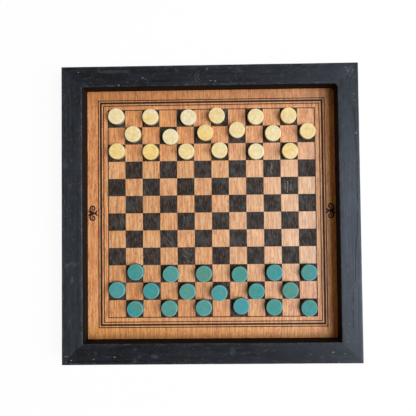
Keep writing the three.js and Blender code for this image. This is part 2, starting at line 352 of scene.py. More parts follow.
def okoume_veneer_varnished(name, colours):
    """Sliced veneer under satin varnish: fine fibres, open pores, polished where play rubs it, a painted
    sheen toward the right and painted shade along the walls.
    """
    finish, tree, surface = new_finish(name)
    space = add_node(tree, "TexCoord", out="Object")
    bands = mottle(tree, space, (9, 170, 20), detail=4.0, distortion=0.4)
    # Fibres and pores are tenths of a millimetre wide; they are drawn coarse enough to show in the render
    fibres = mottle(tree, space, (1.5, 22, 10), detail=3.0, roughness=0.6, offset=5.0)
    pores = mottle(tree, space, (1.6, 6, 10), detail=2.0, offset=11.0)
    patches = mottle(tree, space, (30, 40, 45), detail=3.0, offset=17.0)
    dark, plain, pale = rgba(colours.veneer_dark), rgba(colours.veneer), rgba(colours.veneer_pale)
    figure = add_node(tree, "ValToRGB", {"Fac": bands}, [(0.32, dark), (0.5, plain), (0.68, pale)], "Color")
    fibre_tone = add_node(tree, "ValToRGB", {"Fac": fibres}, [(0.42, dark), (0.58, pale)], "Color")
    pore_share = add_node(tree, "ValToRGB", {"Fac": pores}, rising(0.54, 0.68), "Color")
    pore_share = add_node(tree, "Math", {0: pore_share, 1: 0.65}, out=0, operation="MULTIPLY")
    shade = add_node(tree, "ValToRGB", {"Fac": patches}, [(0.35, grey(0.9)), (0.65, grey(1.0))], "Color")
    wood = plain
    for share, over, mode in (
        (0.4, figure, "MIX"),
        (0.74, fibre_tone, "MIX"),
        (pore_share, rgba(colours.pore), "MIX"),
        (1.0, shade, "MULTIPLY"),
    ):
        wood = add_node(tree, "Mix", {
            FACTOR: share, FIRST: wood, SECOND: over,
        }, blend_type=mode, **OF_COLOURS)
    apart = add_node(tree, "SeparateXYZ", {"Vector": space})
    across, along = [
        add_node(tree, "Math", {0: apart.outputs[axis]}, out=0, operation="ABSOLUTE") for axis in "XY"
    ]
    farther = add_node(tree, "Math", {0: across, 1: along}, out=0, operation="MAXIMUM")
    margin, lightened, middle, ends = [
        add_node(tree, "MapRange", {
            "Value": place, "From Min": near, "From Max": far, "To Min": first, "To Max": last,
        }, out="Result")
        for place, (near, far), first, last in (
            (farther, MARGIN_START, 0.0, 1.0),
            (apart.outputs["X"], (0.0, HALF_FIELD), 0.0, RIGHT_SHEEN),
            (along, MIDDLE_ROWS, 1.0, 0.0),
            (along, MIDDLE_ROWS, 0.0, END_VARNISH),
        )
    ]
    # Painted sheen: the middle rows are mixed toward a paler colour, more and more toward the right, the side
    # that faces the lamp
    fade = add_node(tree, "Math", {0: lightened, 1: middle}, out=0, operation="MULTIPLY")
    varnished = add_node(tree, "Math", {0: margin, 1: ends}, out=0, operation="MAXIMUM")
    field = add_node(tree, "Mix", {
        FACTOR: fade, FIRST: wood, SECOND: rgba(colours.veneer_sheen_lit),
    }, **OF_COLOURS)
    tinted = add_node(tree, "Mix", {
        FACTOR: 1.0, FIRST: wood, SECOND: rgba(colours.margin_tint),
    }, blend_type="MULTIPLY", **OF_COLOURS)
    wood = add_node(tree, "Mix", {FACTOR: varnished, FIRST: field, SECOND: tinted}, **OF_COLOURS)
    # Painted shade: toward the right, back and front walls the margin is darkened and turned yellower, most
    # in the right wall's shadow
    for axis, way, tint in (
        ("X", 1.0, colours.painted_shade_right),
        ("Y", 1.0, colours.painted_shade_back),
        ("Y", -1.0, colours.painted_shade_front),
    ):
        toward = add_node(tree, "Math", {0: apart.outputs[axis], 1: way}, out=0, operation="MULTIPLY")
        wall_shade_share = add_node(tree, "MapRange", {
            "Value": toward, "From Min": WALL_SHADE[0], "From Max": WALL_SHADE[1],
        }, out="Result")
        wall_shaded = add_node(tree, "Mix", {
            FACTOR: 1.0, FIRST: wood, SECOND: rgba(tint),
        }, blend_type="MULTIPLY", **OF_COLOURS)
        wood = add_node(tree, "Mix", {FACTOR: wall_shade_share, FIRST: wood, SECOND: wall_shaded}, **OF_COLOURS)
    gloss = add_node(tree, "MapRange", {
        "Value": fibres, "From Min": 0.3, "From Max": 0.7, "To Min": 0.5, "To Max": 0.38,
    }, out="Result")
    gloss = add_node(tree, "Math", {0: margin, 1: 0.15, 2: gloss}, out=0, operation="MULTIPLY_ADD")
    bump = add_node(tree, "Bump", {"Height": fibres, "Strength": 0.4, "Distance": 0.1 * MM}, out="Normal")
    set_inputs(tree, surface, {
        "Base Color": wood, "Roughness": gloss, "Normal": bump, "IOR": 1.55, "Specular IOR Level": 1.0,
    })
    return finish


def screen_ink_on_veneer(name, colours, show_through):
    """Matt screen ink in veneer: nearly black, brown on the grain's ridges, rubbed grey in patches."""
    finish, tree, surface = new_finish(name)
    space = add_node(tree, "TexCoord", out="Object")
    # The ridges are as fine as the veneer's fibres, and are drawn coarse enough to show as well
    ridges = mottle(tree, space, (1.1, 7, 10), detail=3.0, roughness=0.6, offset=5.0)
    rubs = mottle(tree, space, (8, 12, 10), detail=4.0, roughness=0.6, offset=23.0)
    film = rgba(colours.ink)
    for pattern, low, high, most, over in (
        (ridges, 0.5, 0.7, show_through, rgba(colours.ink_thin)),
        (rubs, 0.46, 0.66, 0.7 * show_through, rgba(colours.ink_rubbed)),
    ):
        bare = add_node(tree, "ValToRGB", {"Fac": pattern}, rising(low, high), "Color")
        bare = add_node(tree, "Math", {0: bare, 1: most}, out=0, operation="MULTIPLY")
        film = add_node(tree, "Mix", {FACTOR: bare, FIRST: film, SECOND: over}, **OF_COLOURS)
    bump = add_node(tree, "Bump", {"Height": ridges, "Strength": 0.5, "Distance": 0.15 * MM}, out="Normal")
    set_inputs(tree, surface, {
        "Base Color": film, "Normal": bump, "Roughness": 0.6, "IOR": 1.5, "Specular IOR Level": 0.2,
    })
    return finish


# Turns of Blender's wave pattern in one unit of its space, at a scale of 1
WAVE_TURNS = 20 / (2 * math.pi)


def turned_disc_paint(name, first, second, worn, ring_pitch):
    """Thin paint on a turned disc: saw lines and faint rings, a paler edge, a side darkened as painted shade,
    each disc a shade apart.
    """
    finish, tree, surface = new_finish(name)
    space = add_node(tree, "Attribute", out="Vector", attribute_name="disc_space")
    own_tone, ringed, wear, side, edge = [
        add_node(tree, "Attribute", out="Fac", attribute_name=value)
        for value in ("tone", "ringed", "wear", "side", "edge")
    ]
    drift = mottle(tree, space, (11, 11, 11), detail=2.0, offset=21.0)
    # Saw lines are under a millimetre apart; they are drawn twice as wide, to show at the photograph's scale
    saw_lines = mottle(tree, space, (16, 2.2, 16), detail=3.0, roughness=0.7)
    blots = mottle(tree, space, (5, 5, 5), detail=3.0, offset=9.0)
    rings = add_node(tree, "TexWave", {
        "Vector": space, "Scale": 1 / WAVE_TURNS / ring_pitch, "Distortion": 1.2, "Detail": 2.0,
    }, out="Fac", wave_type="RINGS", rings_direction="Z")
    rings = add_node(tree, "Math", {0: rings, 1: 0.5}, out=0, operation="SUBTRACT")
    marks = add_node(tree, "Math", {0: rings, 1: ringed, 2: saw_lines}, out=0, operation="MULTIPLY_ADD")
    tone = add_node(tree, "Math", {0: drift, 1: 1.6, 2: own_tone}, out=0, operation="MULTIPLY_ADD")
    tone = add_node(tree, "Math", {0: tone, 1: 0.8}, out=0, operation="SUBTRACT", use_clamp=True)
    shade = add_node(tree, "MapRange", {
        "Value": marks, "From Min": 0.2, "From Max": 0.8, "To Min": 0.82, "To Max": 1.1,
    }, out="Result")
    cloud = add_node(tree, "ValToRGB", {"Fac": blots}, [(0.35, grey(0.85)), (0.65, grey(1.0))], "Color")
    streaks = add_node(tree, "MapRange", {
        "Value": saw_lines, "From Min": 0.4, "From Max": 0.6, "To Min": 0.5, "To Max": 1.0,
    }, out="Result")
    bare = add_node(tree, "Math", {0: streaks, 1: wear}, out=0, operation="MULTIPLY")
    coat = rgba(first)
    for share, over, mode in (
        (tone, rgba(second), "MIX"),
        (1.0, shade, "MULTIPLY"),
        (1.0, cloud, "MULTIPLY"),
        (bare, rgba(worn), "MIX"),
    ):
        coat = add_node(tree, "Mix", {
            FACTOR: share, FIRST: coat, SECOND: over,
        }, blend_type=mode, **OF_COLOURS)
    # Painted shade: the side is darkened below the face, and the rim between them is paler
    for share, strength, over, mode in ((side, 1.0, grey(0.68), "MULTIPLY"), (edge, 0.35, grey(1.0), "MIX")):
        there = add_node(tree, "Mix", {
            FACTOR: strength, FIRST: coat, SECOND: over,
        }, blend_type=mode, **OF_COLOURS)
        coat = add_node(tree, "Mix", {FACTOR: share, FIRST: coat, SECOND: there}, **OF_COLOURS)
    bump = add_node(tree, "Bump", {"Height": marks, "Strength": 0.3, "Distance": 0.08 * MM}, out="Normal")
    set_inputs(tree, surface, {
        "Base Color": coat, "Normal": bump, "Roughness": 0.55, "IOR": 1.5, "Specular IOR Level": 0.2,
    })
    return finish


def drawn_steel_rusted(name, colours):
    """Drawn steel wire with cold-headed tops: grey metal, dull where rust has started."""
    finish, tree, surface = new_finish(name)
    specks = mottle(tree, add_node(tree, "TexCoord", out="Object"), (1.5, 1.5, 1.5), detail=5.0)
    rust = add_node(tree, "ValToRGB", {"Fac": specks}, rising(0.45, 0.65), "Color")
    metal = add_node(tree, "Mix", {
        FACTOR: rust, FIRST: rgba(colours.steel), SECOND: rgba(colours.rust),
    }, **OF_COLOURS)
    bare = add_node(tree, "Math", {0: 1.0, 1: rust}, out=0, operation="SUBTRACT")
    gloss = add_node(tree, "MapRange", {"Value": rust, "To Min": 0.35, "To Max": 0.8}, out="Result")
    set_inputs(tree, surface, {"Base Color": metal, "Metallic": bare, "Roughness": gloss})
    return finish


def chipped_paint(name, first, second):
    """What lies bare where paint has chipped, cracked or been rubbed: dry, and a little dirty."""
    finish, tree, surface = new_finish(name)
    specks = mottle(tree, add_node(tree, "TexCoord", out="Object"), (1.2, 1.2, 1.2), detail=4.0)
    dirt = add_node(tree, "ValToRGB", {"Fac": specks}, rising(0.4, 0.7), "Color")
    bare = add_node(tree, "Mix", {FACTOR: dirt, FIRST: rgba(first), SECOND: rgba(second)}, **OF_COLOURS)
    set_inputs(tree, surface, {"Base Color": bare, "Roughness": 0.8, "Specular IOR Level": 0.2})
    return finish


def studio_paper(name, paper, glow_share):
    """Seamless paper that shows white behind the object and keeps its soft shadow."""
    finish, tree, surface = new_finish(name)
    fibres = mottle(tree, add_node(tree, "TexCoord", out="Object"), (3, 3, 3), detail=4.0)
    tint = add_node(tree, "ValToRGB", {"Fac": fibres}, [
        (0.3, rgba([0.98 * c for c in paper])), (0.7, rgba(paper)),
    ], "Color")
    set_inputs(tree, surface, {"Base Color": tint, "Roughness": 0.9})
    path = add_node(tree, "LightPath")
    seen = path.outputs["Is Camera Ray"]
    for ray in ("Is Glossy Ray", "Is Transmission Ray"):
        seen = add_node(tree, "Math", {0: seen, 1: path.outputs[ray]}, out=0, operation="MAXIMUM")
    share = add_node(tree, "Math", {0: seen, 1: glow_share}, out=0, operation="MULTIPLY")
    glow = add_node(tree, "Emission", {"Color": grey(1.0), "Strength": 1.0}, out="Emission")
    mix = add_node(tree, "MixShader", {0: share, 1: surface.outputs["BSDF"], 2: glow}, out="Shader")
    output = next(node for node in tree.nodes if node.type == "OUTPUT_MATERIAL")
    set_inputs(tree, output, {"Surface": mix})
    return finish


def finish_named(name, make, *settings):
    """The finish of that name, made once."""
    return bpy.data.materials.get(name) or make(name, *settings)


def dress_node(node_name, finish):
    """Gives a carried-over solid its finish."""
    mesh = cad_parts[node_name].data
    mesh.materials.clear()
    mesh.materials.append(finish)


def new_piece(name, shape, finish, smooth_angle=40.0):
    """Turns a finished bmesh into an object."""
    mesh = bpy.data.meshes.new(name)
    bmesh.ops.recalc_face_normals(shape, faces=shape.faces)
    shape.to_mesh(mesh)
    shape.free()
    mesh.shade_smooth()
    mesh.set_sharp_from_angle(angle=math.radians(smooth_angle))
    mesh.materials.append(finish)
    piece = bpy.data.objects.new(name, mesh)
    bpy.context.scene.collection.objects.link(piece)
    return piece


def carry(mesh, name, values, kind="FLOAT"):
    """Stores one value for each point of a mesh."""
    layer = mesh.attributes.new(name, kind, "POINT")
    field = "vector" if kind == "FLOAT_VECTOR" else "value"
    layer.data.foreach_set(field, values)


def arc(centre, radius, start, stop, steps):
    """Points along an arc, angles in degrees."""
    angles = [math.radians(start + (stop - start) * step / steps) for step in range(steps + 1)]
    return [(centre[0] + radius * math.cos(a), centre[1] + radius * math.sin(a)) for a in angles]


def full_turn(steps):
    """Angles spread evenly round a circle."""
    return [2 * math.pi * step / steps for step in range(steps)]


def join_rings(shape, rings):
    """Spans each closed ring of points and the next with faces."""
    for ring, following in zip(rings, rings[1:]):
        for index in range(len(ring)):
            after = (index + 1) % len(ring)
            shape.faces.new((ring[index], ring[after], following[after], following[index]))


# Room left for the panel in its rebate, beside it and above it
REBATE_ROOM = 0.5 * MM
REBATE_GAP = 0.3 * MM
# Steps between points round an eased edge, across a rail's top, down its wall and along it
EDGE_STEPS = 4
TOP_STEPS = 8
WALL_STEPS = 5
LENGTH_STEPS = 110
# Share of a rail's length, at each mitre, in which its points lie closer together
MITRE_SHARE = 0.02
# How far in from the opening a rail's top follows its rounded inner corners
ROUNDED_DEPTH = 1.01 * MM


def rail_section(sizes):
    """Outline of a rail across its length: distance from the board's middle, and height."""
    ease = sizes.rail_ease
    lap = HALF_PANEL + REBATE_ROOM
    ceiling = PANEL_TOP + REBATE_GAP
    outer = arc((HALF_FRAME - ease, RAIL_TOP - ease), ease, 0, 90, EDGE_STEPS)
    inner = arc((HALF_OPENING + ease, RAIL_TOP - ease), ease, 90, 180, EDGE_STEPS)
    gap = (outer[-1][0] - inner[0][0]) / TOP_STEPS
    top = [(outer[-1][0] - gap * step, RAIL_TOP) for step in range(1, TOP_STEPS)]
    drop = (inner[-1][1] - ceiling) / WALL_STEPS
    wall = [(HALF_OPENING, inner[-1][1] - drop * step) for step in range(1, WALL_STEPS + 1)]
    side = [(HALF_FRAME, RAIL_TOP * share) for share in (0.0, 0.25, 0.5, 0.75)]
    return side + outer + top + inner + wall + [(lap, ceiling), (lap, 0.0)]


def rail_point(out, height, share, left_radius, right_radius):
    """A point of the back rail, share of the way from its left mitre to its right one."""
    depth = out - HALF_OPENING
    rounded = depth <= ROUNDED_DEPTH and height > PANEL_TOP
    ends = []
    for radius in (left_radius, right_radius):
        middle = HALF_OPENING - radius
        ends.append(middle + (radius + depth) * math.sqrt(0.5) if rounded else out)
    x = -ends[0] + (ends[0] + ends[1]) * share
    y = out
    if rounded:
        radius = left_radius if x < 0 else right_radius
        middle = HALF_OPENING - radius
        if abs(x) > middle:
            y = middle + math.sqrt(max((radius + depth) ** 2 - (abs(x) - middle) ** 2, 0))
    return Vector((x, y, height))


def rail_stations():
    """Shares of the length at which a rail has a ring of points, closer together at the mitres."""
    end = [0.0, 0.002, 0.004, 0.006, 0.008, 0.010, 0.012, 0.014, 0.016, MITRE_SHARE]
    middle = [MITRE_SHARE + (1 - 2 * MITRE_SHARE) * step / LENGTH_STEPS for step in range(1, LENGTH_STEPS)]
    return end + middle + [1 - share for share in reversed(end)]


# Before the mitres a hand-sanded rail's drift fades out over this length
DRIFT_FADE = 20 * MM
# Its cells in a metre along and across the rail, how far apart the rails lie in it, and its share sideways
DRIFT_ALONG = 45
DRIFT_ACROSS = 120
DRIFT_APART = 5.0
DRIFT_SIDEWAYS = 0.6


def wander(point, turn, sizes):
    """A small drift of the hand-sanded surface, none at the mitres."""
    fade = min(1.0, (HALF_OPENING - abs(point.x)) / DRIFT_FADE)
    if fade <= 0 or point.z < PANEL_TOP:
        return Vector()
    probe = Vector((point.x * DRIFT_ALONG, (point.y - point.z) * DRIFT_ACROSS, turn * DRIFT_APART))
    drift = noise.noise(probe) * sizes.rail_waviness * fade
    return Vector((0, drift * DRIFT_SIDEWAYS, drift - sizes.rail_waviness * fade))


# Room round a nail's head in its recess, the recess's depth and its number of sides
RECESS_ROOM = 0.3 * MM
RECESS_DEPTH = 1.4 * MM
RECESS_SIDES = 24


def nail_recess(name, turn):
    """A cutter for the recess round a nail's head."""
    low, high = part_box(name)
    radius = 0.5 * (high[2] - low[2]) + RECESS_ROOM
    shape = bmesh.new()
    bmesh.ops.create_cone(
        shape, cap_ends=True, segments=RECESS_SIDES, radius1=radius, radius2=radius, depth=2 * RECESS_DEPTH
    )
    place = Vector([0.5 * (a + b) for a, b in zip(low, high)])
    outward = Matrix.Rotation(turn * QUARTER_TURN, 4, "Z") @ Vector((0, 1, 0))
    place += outward * (HALF_FRAME - place.dot(outward))
    shape.transform(Matrix.Translation(place) @ outward.to_track_quat("Z", "Y").to_matrix().to_4x4())
    mesh = bpy.data.meshes.new("cutter")
    shape.to_mesh(mesh)
    shape.free()
    cutter = bpy.data.objects.new("cutter", mesh)
    bpy.context.scene.collection.objects.link(cutter)
    return cutter


def cut_away(piece, cutter):
    """Cuts one object out of another and removes the cutter."""
    modifier = piece.modifiers.new("recess", "BOOLEAN")
    modifier.operation = "DIFFERENCE"
    modifier.solver = "EXACT"
    modifier.object = cutter
    graph = bpy.context.evaluated_depsgraph_get()
    cut_mesh = bpy.data.meshes.new_from_object(piece.evaluated_get(graph))
    piece.modifiers.clear()
    piece.data = cut_mesh
    bpy.data.objects.remove(cutter)


# Soft marks on top of the rails, rubbed, darkened and yellowed, and one painted sheen: start, end and width,
# in millimetres, and strength
SCUFFS_AND_SHEEN = (
    (-160, 206, -116, 207, 1.6, 0.45), (-47, 208, -46, 208, 2.2, 0.5), (-22, 213, -21, 212, 1.8, 0.5),
    (29, 212, 30, 211, 2.0, 0.45), (42, 207, 42, 211, 1.8, 0.6), (-110, -210, -109, -210, 2.2, 0.5),
    (-104, -204, -103, -204, 2.0, 0.5), (-85, -204, -79, -204, 1.8, 0.6), (29, -200, 29, -194, 2.0, 0.5),
    (-200, -98, -200, -92, 1.6, 0.6), (-209, -75, -209, -74, 2.0, 0.5), (-210, 69, -210, 73, 3.0, 0.45),
    (105, 199, 106, 199, 1.8, 0.5), (-213, -72, -188, -71, 1.5, 0.45), (196, 196, 204, 206, 5.0, 0.35),
    # The last, wide and faint mark along the right rail is a painted sheen, not a scuff
    (188, 120, 196, 126, 2.5, 0.35), (201, 20, 201, 195, 16.0, 0.18),
)
# Marks that turn the rails toward the thick paint's black; the long one darkens the right half of the front
# rail
DARKER_MARKS = (
    (179, -203, 202, -206, 3.0, 0.8), (-150, 196, -120, 200, 5.0, 0.5), (80, -204, 205, -204, 11.0, 0.85),
)
YELLOWED = (
    (-210, -184, -210, -198, 4.0, 0.9), (-70, 204, -40, 202, 6.0, 0.7), (150, -206, 175, -204, 5.0, 0.6),
)
# How strongly the rails' eased edges are rubbed and how far that reaches, and how far in the walls' stain
# reaches and how far down it starts, all but the first in radii of the easing
EDGE_RUB = 0.4
EDGE_RUB_REACH = 1.2
STAIN_IN = 0.3
STAIN_DOWN = 0.6


def soft_marks(point, marks):
    """How strong the soft marks are at a point: full on each one's line, fading beside it."""
    strength = 0.0
    for x0, y0, x1, y1, width, full in marks:
        start = Vector((x0, y0)) * MM
        line = Vector((x1, y1)) * MM - start
        share = (point.xy - start).dot(line) / line.length_squared
        beside = (point.xy - start - line * min(max(share, 0.0), 1.0)).length
        strength = max(strength, full * math.exp(-((beside / (width * MM)) ** 2)))
    return strength


def make_rail(side, turn, sizes, finish, wall_finish):
    """One mitred rail with eased edges, its rebate and the recess for its nail."""
    left_radius = sizes.worn_corner if side == "right" else sizes.plain_corner
    right_radius = sizes.worn_corner if side == "back" else sizes.plain_corner
    shape = bmesh.new()
    rings = []
    for share in rail_stations():
        points = [rail_point(out, up, share, left_radius, right_radius) for out, up in rail_section(sizes)]
        rings.append([shape.verts.new(point + wander(point, turn, sizes)) for point in points])
    join_rings(shape, rings)
    shape.faces.new(rings[0])
    shape.faces.new(rings[-1])
    bmesh.ops.transform(shape, matrix=Matrix.Rotation(turn * QUARTER_TURN, 4, "Z"), verts=shape.verts)
    rail = new_piece(f"painted_rail_{side}", shape, finish)
    cut_away(rail, nail_recess(f"corner_nail_{turn + 1}", turn))
    back_turn = Matrix.Rotation(-turn * QUARTER_TURN, 4, "Z")
    along = back_turn.inverted() @ Vector((1, 0, 0))
    brush = []
    edge = []
    for vertex in rail.data.vertices:
        point = back_turn @ vertex.co
        brush += [point.x + turn, point.y - point.z, point.z]
        below_top = RAIL_TOP - point.z
        to_side = min(abs(point.y - HALF_OPENING), abs(HALF_FRAME - point.y))
        edge.append(EDGE_RUB * float(max(to_side, below_top) < EDGE_RUB_REACH * sizes.rail_ease))
    carry(rail.data, "brush_space", brush, "FLOAT_VECTOR")
    carry(rail.data, "brush_along", list(along) * len(rail.data.vertices), "FLOAT_VECTOR")
    carry(rail.data, "edge", edge)
    for name, marks in (("scuffed", SCUFFS_AND_SHEEN), ("smudged", DARKER_MARKS), ("yellowed", YELLOWED)):
        carry(rail.data, name, [soft_marks(vertex.co, marks) for vertex in rail.data.vertices])
    rail.data.materials.append(wall_finish)
    wall_end = HALF_OPENING + STAIN_IN * sizes.rail_ease
    wall_top = RAIL_TOP - STAIN_DOWN * sizes.rail_ease
    for face in rail.data.polygons:
        middle = back_turn @ face.center
        face.material_index = int(middle.y < wall_end and middle.z < wall_top)
    return rail


class CHECKERS_OT_frame_rails(bpy.types.Operator):
    """Makes the four painted rails of the tray"""

    bl_idname = "checkers.frame_rails"
    bl_label = "Frame rails"

    def execute(self, context):
        sizes = context.scene.board_sizes
        colours = context.scene.board_colours
        paint = finish_named("black_oil_paint_brushed", black_oil_paint_brushed, colours)
        stain = finish_named("brown_black_stain_wiped", brown_black_stain_wiped, colours)
        for turn, side in enumerate(RAIL_SIDES):
            rail = make_rail(side, turn, sizes, paint, stain)
            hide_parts(f"rail_{side}")
            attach(rail, "board")
        return {"FINISHED"}


def add_strip(shape, points, half_widths, heights):
    """A flat stroke along a line of points, between the two heights given for each place."""
    rows = []
    for index, (point, half) in enumerate(zip(points, half_widths)):
        before = points[max(index - 1, 0)]
        after = points[min(index + 1, len(points) - 1)]
        side = (after - before).normalized().orthogonal() * half
        corners = (point - side, point + side)
        rows.append([
            [shape.verts.new((corner.x, corner.y, heights(corner)[level])) for corner in corners]
            for level in (0, 1)
        ])
    for (low, high), (next_low, next_high) in zip(rows, rows[1:]):
        shape.faces.new((high[0], high[1], next_high[1], next_high[0]))
        shape.faces.new((low[1], low[0], next_low[0], next_low[1]))
        shape.faces.new((low[0], high[0], next_high[0], next_low[0]))
        shape.faces.new((high[1], low[1], next_low[1], next_high[1]))
    for low, high in (rows[0], rows[-1]):
        shape.faces.new((low[0], low[1], high[1], high[0]))


# How far apart the points of a wandering line are, and how many millimetres each may lie off it
LINE_STEP = 3 * MM
LINE_WANDER = 0.25


def wandering_line(corners, rng):
    """Points along a line through the corners, each a little off it."""
    points = []
    for start, end in zip(corners, corners[1:]):
        steps = max(2, round((end - start).length / LINE_STEP))
        points += [start.lerp(end, step / steps) for step in range(steps)]
    points.append(corners[-1])
    return [
        point + Vector([rng.uniform(-LINE_WANDER, LINE_WANDER) for _ in range(2)]) * MM for point in points
    ]


def add_lines(shape, lines, half_shares, heights, rng):
    """Wandering strokes whose half width is everywhere a random share of their width."""
    for width, *corners in lines:
        points = wandering_line([Vector(corner) * MM for corner in corners], rng)
        add_strip(shape, points, [rng.uniform(*half_shares) * width * MM for _ in points], heights)


# How deep a mark reaches into what it lies on, and how far it stands proud of it so that it shows
CHIP_DEPTH = 0.2 * MM
CHIP_PROUD = 0.03 * MM
# Points round a chip, and the shares of its size between which its ragged edge lies
CHIP_POINTS = 10
CHIP_RAGGED = (0.7, 1.0)
# Chips in the paint on top of the rails: place across and along the board, length, width and turn from the
# board's width, in millimetres and degrees
SMALL_CHIPS = (
    (-190, 207, 2.4, 1.6, 20), (-131, 186.9, 2.8, 2.0, 0), (-3, 209, 2.8, 1.8, 30), (2, 192, 4.0, 1.3, -20),
    (9, 191, 4.0, 1.3, -15), (189, -201, 2.0, 1.6, 0), (194, -184, 1.8, 1.4, 60), (-201, -208, 2.4, 1.8, 40),
    (-202, -212.8, 2.0, 1.6, 0), (196, -159, 1.8, 1.4, 0), (200, 203, 9.0, 0.8, -62),
    (207, 203, 8.0, 0.7, 62), (203, 196, 4.0, 0.8, 80), (206, 199, 2.6, 1.0, 40),
    (197, 208, 2.0, 1.1, 20), (209, 194, 1.6, 1.1, 0), (-209, -211, 1.6, 1.2, 0),
)
DEEP_CHIPS = (
    (-96, 197, 4.0, 1.6, 25), (-92, 195.5, 3.0, 0.9, 25), (-169, -207, 2.4, 1.8, 0),
    (-139, -204, 3.6, 2.2, 10), (172, -199, 5.6, 2.2, 0), (208, 169, 2.6, 2.0, 0), (209, 160, 2.2, 1.6, 0),
    (210, 113, 4.2, 3.4, 70), (-208.5, -202.5, 8.0, 1.2, 6), (180, -212.9, 3.0, 1.8, 0),
    (-118, 191, 2.0, 1.2, 0), (88, -196, 1.8, 1.2, 0),
)
# A ring rubbed into the back rail: its middle and each arc's radius, in millimetres, and the arc's start and
# end, in degrees
RUB_RING = ((-11.5, 197.4), ((8.8, 100, 262), (4.8, 110, 250)))
# Steps along each of its arcs, and the least and most of the arc's half width, in millimetres
RUB_RING_STEPS = 20
RUB_RING_HALVES = (0.25, 0.6)
# Cracks on top of the right rail: width, then points along the line, in millimetres
CRACKS = (
    (0.9, (208, 152), (209, 128), (210, 104), (211, 84)), (0.7, (211, 72), (210.5, 40), (210.5, 12)),
    (0.9, (210, 0), (209.5, -30), (207, -50), (206, -76), (205.5, -100)), (0.8, (202, -108), (201.5, -130)),
    (0.8, (201.5, -140), (201, -167)),
)
# The least and most of a crack's half width, as shares of its width
CRACK_HALVES = (0.25, 0.5)


def rub_heights(_place):
    """The heights between which a rub lies on the ink, just proud of it."""
    return INK_BASE, INK_TOP + CHIP_PROUD


def rail_height(place, sizes):
    """Height of the rails' wavy top at a place on the board."""
    turns = range(len(RAIL_SIDES))
    point = Vector((place.x, place.y, RAIL_TOP))
    points = [Matrix.Rotation(-turn * QUARTER_TURN, 3, "Z") @ point for turn in turns]
    turn = max(turns, key=lambda index: points[index].y)
    return RAIL_TOP + wander(points[turn], turn, sizes).z


def rail_heights(sizes):
    """Gives the heights between which a mark lies at a place on the rails, just proud of the paint."""
    return lambda place: (rail_height(place, sizes) - CHIP_DEPTH, rail_height(place, sizes) + CHIP_PROUD)


def add_chip(shape, chip, heights, rng):
    """A thin ragged patch laid on the surface."""
    x, y, long, wide, degrees = chip
    centre = Vector((x, y)) * MM
    lean = Matrix.Rotation(math.radians(degrees), 2)
    angles = full_turn(CHIP_POINTS)
    reaches = [rng.uniform(*CHIP_RAGGED) for _ in angles]
    rings = []
    for share in (0.5, 1.0):
        places = [
            centre + lean @ Vector((0.5 * long * math.cos(a), 0.5 * wide * math.sin(a))) * MM * share * reach
            for a, reach in zip(angles, reaches)
        ]
        rings.append([shape.verts.new((place.x, place.y, heights(place)[1])) for place in places])
    low = [shape.verts.new((vertex.co.x, vertex.co.y, heights(vertex.co.xy)[0])) for vertex in rings[1]]
    middle = shape.verts.new((centre.x, centre.y, heights(centre)[1]))
    shape.faces.new(list(reversed(low)))
    for step in range(CHIP_POINTS):
        after = (step + 1) % CHIP_POINTS
        shape.faces.new((middle, rings[0][step], rings[0][after]))
        shape.faces.new((rings[0][step], rings[1][step], rings[1][after], rings[0][after]))
        shape.faces.new((rings[1][step], low[step], low[after], rings[1][after]))


def lay_on_rails(name, shape, finish):
    """Turns marks on the rails into a piece of the board."""
    marks = new_piece(name, shape, finish)
    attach(marks, "board")


class CHECKERS_OT_paint_chips(bpy.types.Operator):
    """Lays the chips, scratches and cracks in the frame's paint"""

    bl_idname = "checkers.paint_chips"
    bl_label = "Paint chips"

    def execute(self, context):
        colours = context.scene.board_colours
        heights = rail_heights(context.scene.board_sizes)
        rng = random.Random(context.scene.studio.seed)
        for name, chips, finish_name, first in (
            ("small_paint_chips", SMALL_CHIPS, "grey_primer_chipped", colours.primer),
            ("deep_paint_chips", DEEP_CHIPS, "bare_beech_chipped", colours.bare_wood),
        ):
            shape = bmesh.new()
            for chip in chips:
                add_chip(shape, chip, heights, rng)
            finish = finish_named(finish_name, chipped_paint, first, colours.paint_scuff_and_sheen)
            lay_on_rails(name, shape, finish)
        shape = bmesh.new()
        centre, arcs = RUB_RING
        for radius, start, stop in arcs:
            points = [Vector(point) * MM for point in arc(centre, radius, start, stop, RUB_RING_STEPS)]
            add_strip(shape, points, [rng.uniform(*RUB_RING_HALVES) * MM for _ in points], heights)
        finish = finish_named(
            "black_oil_paint_scratched", chipped_paint, colours.paint_scuff_and_sheen, colours.paint_thin
        )
        lay_on_rails("rub_ring", shape, finish)
        shape = bmesh.new()
        add_lines(shape, CRACKS, CRACK_HALVES, heights, rng)
        finish = finish_named("open_grain_cracked", chipped_paint, colours.paint_crack, colours.paint)
        lay_on_rails("grain_cracks", shape, finish)
        return {"FINISHED"}


class CHECKERS_OT_playing_panel(bpy.types.Operator):
    """Gives the panel its veneer"""

    bl_idname = "checkers.playing_panel"
    bl_label = "Playing panel"

    def execute(self, context):
        finish = finish_named("okoume_veneer_varnished", okoume_veneer_varnished, context.scene.board_colours)
        dress_node("playing_panel", finish)
        return {"FINISHED"}


